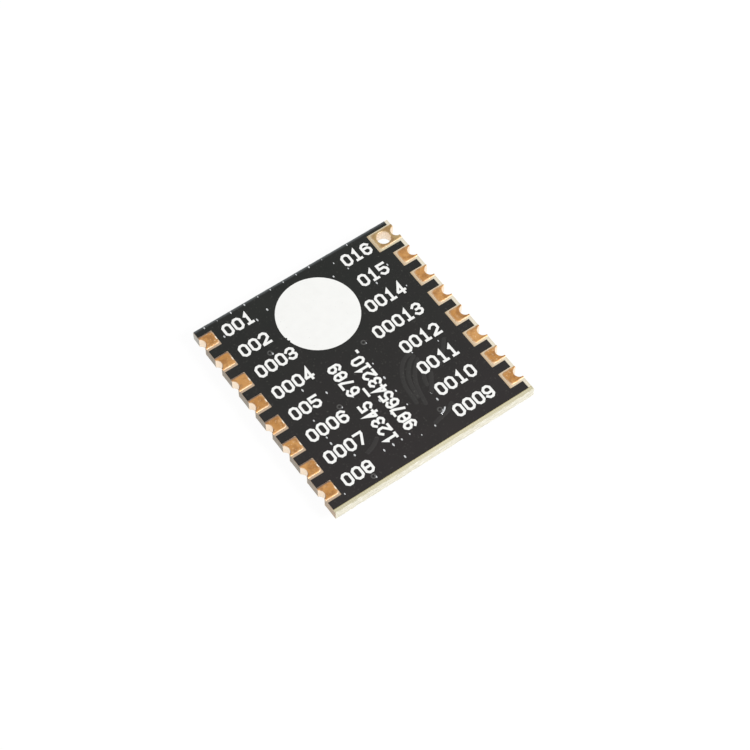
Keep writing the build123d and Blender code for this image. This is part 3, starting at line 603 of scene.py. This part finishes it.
class Solid:
    """Points and faces of several closed shells, and how much painted rim highlight each point takes."""

    def __init__(self):
        self.points = []
        self.faces = []
        self.rim = []

    def ring(self, loop, z, rim=0.0):
        start = len(self.points)
        self.points += [(x, y, z) for x, y in loop]
        self.rim += [rim] * len(loop)
        return list(range(start, start + len(loop)))

    def join(self, lower, upper):
        count = len(lower)
        for i in range(count):
            j = (i + 1) % count
            self.faces.append((lower[i], lower[j], upper[j], upper[i]))

    def cap(self, rings):
        """Fills an outline, less its holes, with triangles."""
        order = [index for ring in rings for index in ring]
        loops = [[Vector(self.points[index]) for index in ring] for ring in rings]
        for triangle in tessellate_polygon(loops):
            self.faces.append(tuple(order[index] for index in triangle))

    def stack(self, levels, rims=None):
        """A closed shell through levels, each a list of loops and a height."""
        rims = rims or [0.0] * len(levels)
        rings = [[self.ring(loop, z, rim) for loop in loops] for (loops, z), rim in zip(levels, rims)]
        for lower, upper in zip(rings, rings[1:]):
            for ring_low, ring_high in zip(lower, upper):
                self.join(ring_low, ring_high)
        self.cap(rings[0])
        self.cap(rings[-1])

    def grid(self, rows):
        """A closed shell between rows of (x, y, lower z, upper z)."""
        start = len(self.points)
        across = len(rows[0])
        size = len(rows) * across
        for layer in (2, 3):
            for row in rows:
                self.points += [(p[0], p[1], p[layer]) for p in row]
        for i in range(len(rows) - 1):
            for j in range(across - 1):
                a = start + i * across + j
                corners = (a, a + 1, a + across + 1, a + across)
                self.faces.append(corners)
                self.faces.append(tuple(c + size for c in reversed(corners)))
        border = [start + j for j in range(across)]
        border += [start + i * across + across - 1 for i in range(1, len(rows))]
        border += [start + (len(rows) - 1) * across + j for j in range(across - 2, -1, -1)]
        border += [start + i * across for i in range(len(rows) - 2, 0, -1)]
        for a, b in zip(border, border[1:] + border[:1]):
            self.faces.append((a, b, b + size, a + size))


def arc(centre_x, centre_y, radius, start, end, steps):
    """Points of an arc, from one angle in degrees to another."""
    angles = [math.radians(start + (end - start) * i / steps) for i in range(steps + 1)]
    return [(centre_x + radius * math.cos(a), centre_y + radius * math.sin(a)) for a in angles]


def circle(x, y, radius, steps):
    """Points of a whole circle, each once."""
    return arc(x, y, radius, 0, 360 - 360 / steps, steps - 1)


def rounded_rectangle(low, high, inset, corner):
    """A rectangle with rounded corners, drawn inwards by an inset."""
    x0, y0, x1, y1 = low[0] + inset, low[1] + inset, high[0] - inset, high[1] - inset
    loop = arc(x1 - corner, y1 - corner, corner, 0, 90, BODY_CORNER_STEPS)
    loop += arc(x0 + corner, y1 - corner, corner, 90, 180, BODY_CORNER_STEPS)
    loop += arc(x0 + corner, y0 + corner, corner, 180, 270, BODY_CORNER_STEPS)
    loop += arc(x1 - corner, y0 + corner, corner, 270, 360, BODY_CORNER_STEPS)
    return loop


def smoothed(path, rounds=3):
    """A path with its corners cut, again and again, into curves."""
    for _ in range(rounds):
        cut = [path[0]]
        for (x0, y0), (x1, y1) in zip(path, path[1:]):
            for share in (0.25, 0.75):
                cut.append((x0 * (1 - share) + x1 * share, y0 * (1 - share) + y1 * share))
        cut.append(path[-1])
        path = cut
    return path


def span(points):
    """The lowest and highest corner of some points."""
    return [min(p[k] for p in points) for k in range(3)], [max(p[k] for p in points) for k in range(3)]


# Contacts. Their outlines are drawn from the board's side inwards, then set in their row.


def at_side(side, row, loop):
    """An outline in its place on the board."""
    return [(side * (BOARD_HALF_WIDTH - u), ROWS[row] + v) for u, v in loop]


def pad_loops(side, row, inset):
    """A pad's outline, drawn inwards by an inset on its own sides, and its hole."""
    is_antenna = (side, row) == ANTENNA_PLACE
    reach, height = (ANTENNA_PAD_REACH, ANTENNA_PAD_HEIGHT) if is_antenna else (PAD_REACH, PAD_HEIGHT)
    half = height / 2 - inset
    inner = reach - inset
    notch = NOTCH_RADIUS + inset * HOLE_ROLL
    notch_angle = math.degrees(math.acos(NOTCH_OUTSET[side] / notch))
    loop = arc(-NOTCH_OUTSET[side], 0.0, notch, -notch_angle, notch_angle, ARC_STEPS)
    loop.append((0.0, half))
    loop += arc(inner - PAD_CORNER, half - PAD_CORNER, PAD_CORNER, 90, 0, CORNER_STEPS)
    loop += arc(inner - PAD_CORNER, PAD_CORNER - half, PAD_CORNER, 0, -90, CORNER_STEPS)
    loop.append((0.0, -half))
    loops = [loop]
    if is_antenna:
        loops.append(circle(ANTENNA_HOLE_INSET, 0.0, ANTENNA_HOLE_RADIUS + inset * HOLE_ROLL, HOLE_STEPS))
    return [at_side(side, row, one) for one in loops]


def wall_loop(side, row):
    """The plating in a half hole."""
    outer, inner = NOTCH_RADIUS + PLATING, NOTCH_RADIUS
    outset = NOTCH_OUTSET[side]
    outer_angle = math.degrees(math.acos(outset / outer))
    inner_angle = math.degrees(math.acos(outset / inner))
    loop = arc(-outset, 0.0, outer, -outer_angle, outer_angle, ARC_STEPS)
    loop += arc(-outset, 0.0, inner, inner_angle, -inner_angle, ARC_STEPS)
    return at_side(side, row, loop)


def make_contact(side, row, node):
    """A pad on each face with soft rolled edges, and the plating between them."""
    solid = Solid()
    wall_ends = (BOARD_BOTTOM - PLATING_OVERLAP, BOARD_TOP + PLATING_OVERLAP)
    material = None
    solid.stack([(pad_loops(side, row, inset), BOARD_TOP + rise) for inset, rise in ROLL], ROLL_RIM)
    solid.stack([(pad_loops(side, row, inset), BOARD_BOTTOM - rise) for inset, rise in ROLL], ROLL_RIM)
    solid.stack([([wall_loop(side, row)], z) for z in wall_ends])
    if (side, row) == ANTENNA_PLACE:
        material = paler_plating
        hole = (side * (BOARD_HALF_WIDTH - ANTENNA_HOLE_INSET), ROWS[row])
        outer = circle(*hole, ANTENNA_HOLE_RADIUS + PLATING, HOLE_STEPS)
        inner = circle(*hole, ANTENNA_HOLE_RADIUS, HOLE_STEPS)
        solid.stack([([outer, inner], z) for z in wall_ends])
    make_piece(node + "_plated", solid, "contact_plating", [node], material)


for row_number in range(len(ROWS)):
    is_antenna = (1, row_number) == ANTENNA_PLACE
    make_contact(-1, row_number, f"contact_{row_number + 1:02d}")
    make_contact(1, row_number, "antenna_contact" if is_antenna else f"contact_{16 - row_number:02d}")


# The board, with its two ends snapped from a panel


def torn(x, z, end):
    """How far a snapped end is torn back at a place, in millimetres."""
    wave = TEAR_DEPTH + TEAR_WAVE * noise.noise(Vector((x * 0.9, z * 0.5, end * 5.0)))
    grain = TEAR_GRAIN * noise.noise(Vector((x * 5.0, z * 9.0, end * 7.0)))
    pulled = PULLED_FIBRES * max(0.0, noise.noise(Vector((x * 3.0, z * 14.0, end * 11.0))) - 0.22)
    to_arris = min(z, END_LEVELS[-1] - z)
    chipped = CHIPPED_ARRIS * max(0.0, 1 - to_arris / ARRIS_REACH)
    chipped *= max(0.0, noise.noise(Vector((x * 2.2, end * 3.0, 4.0))) + 0.25)
    return min(max(wave + grain + pulled + chipped, 0.0), DEEPEST_TEAR)


def board_loops(level):
    """The board's outline at one level, with its half holes and ragged ends, and the antenna hole."""
    xs = [BOARD_HALF_WIDTH * (2 * i / END_STEPS - 1) for i in range(END_STEPS + 1)]
    radius = NOTCH_RADIUS + PLATING
    angle = math.degrees(math.acos(NOTCH_OUTSET[-1] / radius))
    loop = [(x, torn(x, level, -1) - BOARD_HALF_LENGTH) for x in xs]
    for row in reversed(ROWS):
        loop += arc(BOARD_HALF_WIDTH, row, radius, 270, 90, ARC_STEPS)
    loop += [(x, BOARD_HALF_LENGTH - torn(x, level, 1)) for x in reversed(xs)]
    for row in ROWS:
        loop += arc(-BOARD_HALF_WIDTH - NOTCH_OUTSET[-1], row, radius, angle, -angle, ARC_STEPS)
    hole_x = BOARD_HALF_WIDTH - ANTENNA_HOLE_INSET
    return [loop, circle(hole_x, ROWS[0], ANTENNA_HOLE_RADIUS + PLATING, HOLE_STEPS)]


board = Solid()
board.stack([(board_loops(level), BOARD_BOTTOM + level) for level in END_LEVELS])
make_piece("snapped_board", board, "laminate", ["circuit_board"])


# Filled vias under the lacquer, each with a small bright metal dome as a painted highlight


def via_ring(x, y, kind, base, direction):
    """A low ring with a dimple in its middle."""
    radius, height = VIA_RINGS[kind]
    return [
        ([circle(x, y, radius * share, VIA_STEPS)], base + direction * height * rise)
        for share, rise in VIA_PROFILE
    ]


def open_via_ring(x, y, kind, base):
    """A low ring with flat lacquer inside it."""
    radius, height = VIA_RINGS[kind]
    return [
        ([circle(x, y, radius * share, VIA_STEPS) for share in (outer, inner)], base + height * rise)
        for outer, inner, rise in OPEN_PROFILE
    ]


def glint(x, y, size, width):
    """A small bright metal dome, a painted highlight, longer along the board than across it."""
    levels = []
    for share, rise in GLINT_DOME:
        around = circle(0.0, 0.0, size * share, GLINT_STEPS)
        loop = [(x + u * width * GLINT_STRETCH[0], y + v * GLINT_STRETCH[1]) for u, v in around]
        levels.append(([loop], MASK_TOP + LIFTED + GLINT_HEIGHT * rise))
    return levels


def make_vias():
    """The vias' rings, and their painted highlights as bright metal domes, on the printed side."""
    chance = random.Random(SEED)
    rings, open_rings, glints = Solid(), Solid(), Solid()
    for kind, places in VIAS.items():
        offset = VIA_RINGS[kind][0] * RING_GLINT_OFFSET if kind == "ring" else 0.0
        for x, y in places:
            if kind == "ring":
                open_rings.stack(open_via_ring(x, y, kind, MASK_TOP - SUNK))
            else:
                rings.stack(via_ring(x, y, kind, MASK_TOP - SUNK, 1))
            size = GLINT_RADIUS[kind] * chance.uniform(*GLINT_SIZES)
            width = chance.uniform(*GLINT_WIDTHS)
            glints.stack(glint(x + offset, y - offset, size, width))
    make_piece("via_rings", rings, "solder_mask")
    make_piece("open_via_rings", open_rings, "solder_mask", material=lacquer_round_via)
    make_piece("via_glints", glints, "solder")


make_vias()


# Tracks


def beside(path, half):
    """The outline of a band along a path, of a half width that tapers at both ends."""
    left, right = [], []
    for i, (x, y) in enumerate(path):
        x0, y0 = path[max(i - 1, 0)]
        x1, y1 = path[min(i + 1, len(path) - 1)]
        along = Vector((x1 - x0, y1 - y0)).normalized()
        taper = half * min(1.0, (i + 1) / TAPER_STEPS, (len(path) - i) / TAPER_STEPS)
        left.append((x - along.y * taper, y + along.x * taper))
        right.append((x + along.y * taper, y - along.x * taper))
    return left + right[::-1]


def make_tracks(name, paths, width, base, height, slot, material=None):
    """Ridges along paths, with sloping sides. A negative height hangs them under the board."""
    solid = Solid()
    for path in paths:
        curve = smoothed(path)
        levels = []
        for share, rise in RIDGE_PROFILE:
            levels.append(([beside(curve, width / 2 * share)], base + height * rise))
        solid.stack(levels)
    make_piece(name, solid, slot, material=material)


make_tracks(
    "lacquered_tracks", TRACKS, width=0.31, base=MASK_TOP - SUNK, height=0.019,
    slot="solder_mask", material=lacquer_on_copper,
)
make_tracks(
    "lacquered_tracks_below", TRACKS_BELOW, width=0.20, base=MASK_BOTTOM + SUNK, height=-0.012,
    slot="solder_mask", material=lacquer_on_copper,
)
# Painted highlight: a bright metal strip along a track's edge beside a via
make_tracks(
    "track_edge_glint", TRACK_EDGE_GLINTS, width=0.11, base=MASK_TOP + LIFTED, height=0.013, slot="solder",
)


# Component side


def welded(node):
    """A CAD node's shape, with the points that meet made one."""
    shape = bmesh.new()
    shape.from_mesh(frame["nodes"][node].data)
    bmesh.ops.remove_doubles(shape, verts=shape.verts, dist=WELD)
    return shape


def islands(node):
    """The separate solids of a CAD node, each as a list of points in millimetres."""
    shape = welded(node)
    left = set(shape.verts)
    found = []
    while left:
        group, queue = [], [left.pop()]
        while queue:
            vertex = queue.pop()
            group.append(tuple(vertex.co / MM))
            for edge in vertex.link_edges:
                other = edge.other_vert(vertex)
                if other in left:
                    left.remove(other)
                    queue.append(other)
        found.append(group)
    shape.free()
    return sorted(found, key=lambda points: [round(min(p[k] for p in points), 3) for k in range(3)])


def rounded_copy(node, name, radius, slot, segments=3, wobble=0.0):
    """A CAD node's shape with softly rounded edges, and a little unevenness."""
    shape = welded(node)
    flat = math.radians(FLAT_ANGLE)
    bmesh.ops.dissolve_limit(shape, angle_limit=flat, verts=shape.verts, edges=shape.edges)
    bmesh.ops.bevel(
        shape, geom=shape.edges, offset=radius * MM, segments=segments, profile=0.5,
        affect="EDGES", clamp_overlap=True,
    )
    if wobble:
        low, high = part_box(node)
        for vertex in shape.verts:
            vertex.co += noise.noise_vector(vertex.co / (WOBBLE_SPAN * MM)) * wobble * MM
            for k in range(3):
                vertex.co[k] = min(max(vertex.co[k], low[k]), high[k])
    shape.verts.index_update()
    solid = Solid()
    solid.points = [tuple(vertex.co / MM) for vertex in shape.verts]
    solid.faces = [tuple(vertex.index for vertex in face.verts) for face in shape.faces]
    shape.free()
    make_piece(name, solid, slot, [node])


def fillet_rows(points):
    """One terminal's solder, as rows from under the terminal to the toe. It climbs the terminal's face."""
    low, high = span(points)
    tip_low, tip_high = span([p for p in points if p[2] < low[2] + TIP_DEPTH])
    axis = 0 if tip_high[0] - tip_low[0] < tip_high[1] - tip_low[1] else 1
    face = (tip_low[axis] + tip_high[axis]) / 2
    outwards = 1 if high[axis] - face < face - low[axis] else -1
    toe, inner = sorted((high[axis] - face, face - low[axis]))
    middle = (low[1 - axis] + high[1 - axis]) / 2
    half = (high[1 - axis] - low[1 - axis]) / 2
    climb = SEAT - low[2]
    joint = LAND_FACE - SEAT
    rows = []
    for place in [-inner, -inner * 0.5] + [toe * i / FILLET_STEPS for i in range(FILLET_STEPS + 1)]:
        t = max(place, 0.0) / toe
        row = []
        for j in range(FILLET_ACROSS):
            s = 2 * j / (FILLET_ACROSS - 1) - 1
            top = joint
            if place >= 0:
                rise = (1 - t) ** FILLET_HOLLOW * (1 - FILLET_FALL * abs(s) ** 3)
                foot = (1 - s**4) * (1 - t**3)
                top = climb * rise + joint * (FILLET_FOOT + (1 - FILLET_FOOT) * foot)
            along = face + outwards * place * (1 - FILLET_DRAW * s * s * t)
            aside = middle + s * half * (1 - FILLET_DRAW * t)
            x, y = (along, aside) if axis == 0 else (aside, along)
            row.append((x, y, LAND_FACE - top, LAND_FACE))
        rows.append(row)
    return rows


def make_solder():
    """A concave fillet of solder at each terminal, and the flat joint under the chip."""
    solid = Solid()
    for points in islands("solder_joints"):
        low, high = span(points)
        if high[0] - low[0] > JOINT_SPAN:
            flat = [(low[0], low[1]), (high[0], low[1]), (high[0], high[1]), (low[0], high[1])]
            solid.stack([([flat], SEAT), ([flat], LAND_FACE)])
        else:
            solid.grid(fillet_rows(points))
    make_piece("solder_fillets", solid, "solder", ["solder_joints"])


def make_moulded_chip(node, name, inset, edge, corner, dimple_radius, dimple_inset, dimple_depth):
    """A moulded package with soft lower edges and a round dimple at its first lead."""
    low, high = box_mm(node)
    levels = [(inset, high[2])]
    for i in range(EDGE_STEPS, -1, -1):
        turn = math.radians(90 * i / EDGE_STEPS)
        levels.append((inset + edge * (1 - math.sin(turn)), low[2] + edge * (1 - math.cos(turn))))
    solid = Solid()
    rings = [solid.ring(rounded_rectangle(low, high, d, corner), z) for d, z in levels]
    for upper, lower in zip(rings, rings[1:]):
        solid.join(upper, lower)
    solid.cap([rings[0]])
    dimple_rings = []
    for share, fall in DIMPLE_PROFILE:
        loop = circle(low[0] + dimple_inset, high[1] - dimple_inset, dimple_radius * share, DIMPLE_STEPS)
        dimple_rings.append(solid.ring(loop, low[2] + dimple_depth * fall))
    solid.cap([rings[-1], dimple_rings[0]])
    for outer, inner in zip(dimple_rings, dimple_rings[1:]):
        solid.join(outer, inner)
    solid.cap([dimple_rings[-1]])
    make_piece(name, solid, "moulded_resin", [node])


def make_crystal_lid():
    """A thin metal lid with a welded groove inside its rim."""
    low, high = box_mm("crystal_lid")
    profile = [(0.0, high[2])] + [(inset, low[2] + rise) for inset, rise in LID_PROFILE]
    solid = Solid()
    solid.stack([([rounded_rectangle(low, high, inset, LID_CORNER)], z) for inset, z in profile])
    make_piece("crystal_lid_welded", solid, "nickel_lid", ["crystal_lid"])


def make_vias_below():
    """The same vias on the component side, where no part or land covers them."""
    covered = [box_mm(node) for node in ("transceiver_chip", "crystal_case", "switch_chip")]
    for node in ("component_lands", "component_side_print"):
        covered += [span(points) for points in islands(node)]
    rings = Solid()
    for kind, places in VIAS.items():
        reach = VIA_RINGS[kind][0] + VIA_CLEARANCE
        for x, y in places:
            if not any(
                low[0] - reach <= x <= high[0] + reach and low[1] - reach <= y <= high[1] + reach
                for low, high in covered
            ):
                rings.stack(via_ring(x, y, kind, MASK_BOTTOM + SUNK, -1))
    make_piece("via_rings_below", rings, "solder_mask", material=lacquer_on_copper)


make_vias_below()
make_solder()
make_moulded_chip(
    "transceiver_chip", "transceiver_package", inset=0.006, edge=0.05, corner=0.04,
    dimple_radius=0.30, dimple_inset=0.66, dimple_depth=0.11,
)
make_moulded_chip(
    "switch_chip", "switch_package", inset=0.0, edge=0.06, corner=0.05,
    dimple_radius=0.14, dimple_inset=0.32, dimple_depth=0.06,
)
make_crystal_lid()
rounded_copy("crystal_case", "crystal_case_fired", radius=0.03, slot="dark_ceramic")
for caps in ("capacitor_end_caps", "inductor_end_caps", "resistor_end_caps"):
    rounded_copy(caps, caps + "_dipped", radius=0.045, slot="tinned_ends", segments=4, wobble=0.010)
for row in frame["record"]["subparts"]:
    node = row["node"]
    is_small_part = node.startswith(("capacitor", "inductor", "resistor", "bulk"))
    if is_small_part and not node.endswith("_end_caps"):
        slot = row["material_slot"]
        rounded_copy(node, node + "_body", radius=0.022, slot=slot, segments=2, wobble=0.004)


# Camera, floor, world and lamp. Sizes here are in metres.

FLOOR_SIZE = 3.0
FLOOR_GAP = 0.00001


def aim(thing, place, target):
    """Adds a camera or lamp at a place, upright and turned to a target."""
    thing.location = place
    thing.rotation_euler = (Vector(target) - Vector(place)).to_track_quat("-Z", "Y").to_euler()
    bpy.context.collection.objects.link(thing)


def make_camera():
    """The photo's own perspective."""
    data = bpy.data.cameras.new("photo camera")
    data.lens = LENS
    data.sensor_width = SENSOR
    data.clip_start = 0.001
    data.clip_end = 10.0
    camera = bpy.data.objects.new("photo camera", data)
    aim(camera, mm(*CAMERA_PLACE), mm(*CAMERA_TARGET))
    bpy.context.scene.camera = camera


def camera_sees(tree):
    """1 where a camera, mirror or glass ray looks, 0 for the light on other surfaces."""
    path = tree.nodes.new("ShaderNodeLightPath")
    seen = path.outputs["Is Camera Ray"]
    for ray in ("Is Glossy Ray", "Is Transmission Ray"):
        either = tree.nodes.new("ShaderNodeMath")
        either.operation = "MAXIMUM"
        tree.links.new(seen, either.inputs[0])
        tree.links.new(path.outputs[ray], either.inputs[1])
        seen = either.outputs["Value"]
    return seen


def pale_floor():
    """An even glow to the camera, and plain pale paint to the light that reaches the module."""
    m = Nodes("pale floor")
    seen = camera_sees(m.tree)
    colour = m.mix(seen, (0.90, 0.90, 0.90), (0.06, 0.06, 0.06))
    m.link(m.math("MULTIPLY", seen, 0.95), m.shader.inputs["Emission Strength"])
    return m.finish(colour, 0.9, Specular_IOR_Level=0.1, Emission_Color=(1.0, 1.0, 1.0, 1.0))


def make_floor():
    shape = bmesh.new()
    bmesh.ops.create_grid(shape, x_segments=1, y_segments=1, size=FLOOR_SIZE)
    mesh = bpy.data.meshes.new("floor")
    shape.to_mesh(mesh)
    shape.free()
    mesh.materials.append(pale_floor())
    floor = bpy.data.objects.new("floor", mesh)
    floor.location.z = -FLOOR_GAP
    bpy.context.collection.objects.link(floor)


def make_world():
    """White to the camera, and half as strong as a light on the module."""
    world = bpy.data.worlds.new("studio")
    bpy.context.scene.world = world
    world.use_nodes = True
    tree = world.node_tree
    background = tree.nodes["Background"]
    background.inputs["Color"].default_value = (1.0, 1.0, 1.0, 1.0)
    strength = tree.nodes.new("ShaderNodeMapRange")
    tree.links.new(camera_sees(tree), strength.inputs["Value"])
    strength.inputs["To Min"].default_value = 0.50
    strength.inputs["To Max"].default_value = 1.0
    tree.links.new(strength.outputs["Result"], background.inputs["Strength"])


def make_key_lamp(place, size, power):
    """A round soft lamp turned to the module."""
    data = bpy.data.lights.new("key lamp", "AREA")
    data.shape = "DISK"
    data.size = size
    data.energy = power
    aim(bpy.data.objects.new("key lamp", data), place, (0.0, 0.0, 0.0))


make_camera()
make_floor()
make_world()
make_key_lamp(place=(0.18, -0.384, 0.426), size=0.22, power=3.1)

scene = bpy.context.scene
scene.view_settings.view_transform = "Standard"
